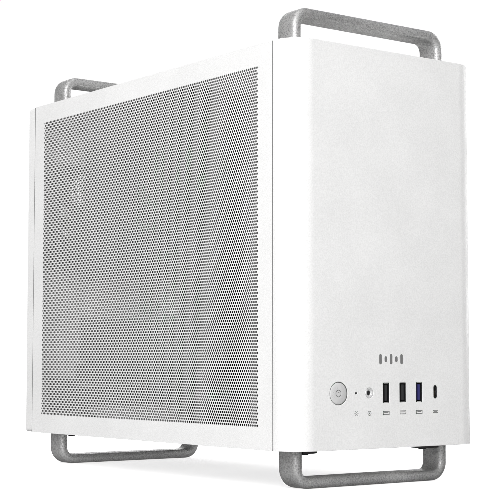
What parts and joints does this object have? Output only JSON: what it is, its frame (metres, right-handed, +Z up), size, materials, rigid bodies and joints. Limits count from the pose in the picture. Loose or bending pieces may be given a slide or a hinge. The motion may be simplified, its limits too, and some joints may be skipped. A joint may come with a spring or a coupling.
{
  "type": "desktop computer tower",
  "caption": "Compact white computer tower with perforated side panels, loop handles above and below, front sockets and a full set of working parts inside.",
  "frame": {"origin": "on the floor under the middle of the case", "axes": "+Z up, -Y towards the front panel, +X to the right as seen from the front"},
  "size_m": [0.182, 0.375, 0.3418],
  "materials": {
    "white_paint": "fine-grained white powder coat",
    "blasted_aluminium": "sand-blasted, silver grey, matt",
    "turned_steel": "turned metal with fine rings",
    "bare_steel": "plated sheet steel",
    "black_steel": "fine black powder coat",
    "black_plastic": "moulded, matt",
    "fan_plastic": "glass-filled, satin",
    "circuit_board": "black solder mask",
    "cooler_metal": "bare aluminium plates",
    "cable_sleeve": "black jacket",
    "light_pipe": "clear, polished"
  },
  "bodies": {
    "case": {"audio_jack": "bare_steel", "board_power_cable": "cable_sleeve", "bottom_plate": "white_paint", "cooler_fan_frame": "fan_plastic", "cooler_heatsink": "cooler_metal", "front_cable": "cable_sleeve", "front_frame": "black_steel", "front_panel": "white_paint", "graphics_board": "circuit_board", "graphics_bracket": "bare_steel", "graphics_power_cable": "cable_sleeve", "graphics_shroud": "black_plastic", "handle_bottom_front": "blasted_aluminium", "handle_bottom_rear": "blasted_aluminium", "handle_tab_bottom_front_left": "black_steel", "handle_tab_bottom_front_right": "black_steel", "handle_tab_bottom_rear_left": "black_steel", "handle_tab_bottom_rear_right": "black_steel", "handle_tab_top_front_left": "black_steel", "handle_tab_top_front_right": "black_steel", "handle_tab_top_rear_left": "black_steel", "handle_tab_top_rear_right": "black_steel", "handle_top_front": "blasted_aluminium", "handle_top_rear": "blasted_aluminium", "io_board": "circuit_board", "io_bracket": "black_plastic", "m2_drive": "black_steel", "mains_inlet": "black_plastic", "mains_lead": "cable_sleeve", "memory_module_1": "black_steel", "memory_module_2": "black_steel", "motherboard": "circuit_board", "motherboard_tray": "black_steel", "port_shield": "bare_steel", "power_supply_bracket": "black_steel", "power_supply_case": "black_steel", "power_switch": "black_plastic", "processor_socket": "bare_steel", "rear_fan_frame": "fan_plastic", "rear_panel": "white_paint", "rear_port_block": "bare_steel", "slot_cover_1": "black_steel", "slot_cover_2": "black_steel", "status_light_pipe": "light_pipe", "top_fan_frame": "fan_plastic", "top_plate": "white_paint", "usb_a_port_1": "black_plastic", "usb_a_port_2": "black_plastic", "usb_a_port_3": "black_plastic", "usb_c_port": "bare_steel"},
    "left_panel": {"left_side_panel": "white_paint"},
    "right_panel": {"right_side_panel": "white_paint"},
    "button": {"power_button": "turned_steel"},
    "rear_fan": {"rear_fan_rotor": "fan_plastic"},
    "top_fan": {"top_fan_rotor": "fan_plastic"},
    "cooler_fan": {"cooler_fan_rotor": "fan_plastic"},
    "supply_fan": {"power_supply_fan_rotor": "fan_plastic"},
    "graphics_fan_1": {"graphics_fan_rotor_1": "fan_plastic"},
    "graphics_fan_2": {"graphics_fan_rotor_2": "fan_plastic"},
    "supply_rocker": {"power_supply_rocker": "black_plastic"}
  },
  "joints": [
    {"name": "power_button_press", "type": "slide", "parent": "case", "child": "button", "axis": [0, 1, 0], "range_m": [0, 0.0012], "stiffness_N_per_m": 1500},
    {"name": "left_panel_pull", "type": "slide", "parent": "case", "child": "left_panel", "axis": [-1, 0, 0], "range_m": [0, 0.06]},
    {"name": "right_panel_pull", "type": "slide", "parent": "case", "child": "right_panel", "axis": [1, 0, 0], "range_m": [0, 0.06]},
    {"name": "rear_fan_spin", "type": "hinge", "parent": "case", "child": "rear_fan", "pos_m": [-0.036, 0.1646, 0.216], "axis": [0, 1, 0], "continuous": true},
    {"name": "top_fan_spin", "type": "hinge", "parent": "case", "child": "top_fan", "pos_m": [0, 0.06, 0.2996], "axis": [0, 0, 1], "continuous": true},
    {"name": "cooler_fan_spin", "type": "hinge", "parent": "case", "child": "cooler_fan", "pos_m": [-0.024, 0.0397, 0.216], "axis": [0, 1, 0], "continuous": true},
    {"name": "supply_fan_spin", "type": "hinge", "parent": "case", "child": "supply_fan", "pos_m": [0, -0.1025, 0.181], "axis": [0, 1, 0], "continuous": true},
    {"name": "graphics_fan_1_spin", "type": "hinge", "parent": "case", "child": "graphics_fan_1", "pos_m": [0.004, 0.104, 0.09276], "axis": [0, 0, 1], "continuous": true},
    {"name": "graphics_fan_2_spin", "type": "hinge", "parent": "case", "child": "graphics_fan_2", "pos_m": [0.004, 0.008, 0.09276], "axis": [0, 0, 1], "continuous": true},
    {"name": "supply_switch_rock", "type": "hinge", "parent": "case", "child": "supply_rocker", "pos_m": [0.012, -0.12625, 0.1316], "axis": [0, 1, 0], "range_deg": [-16, 0]}
  ]
}
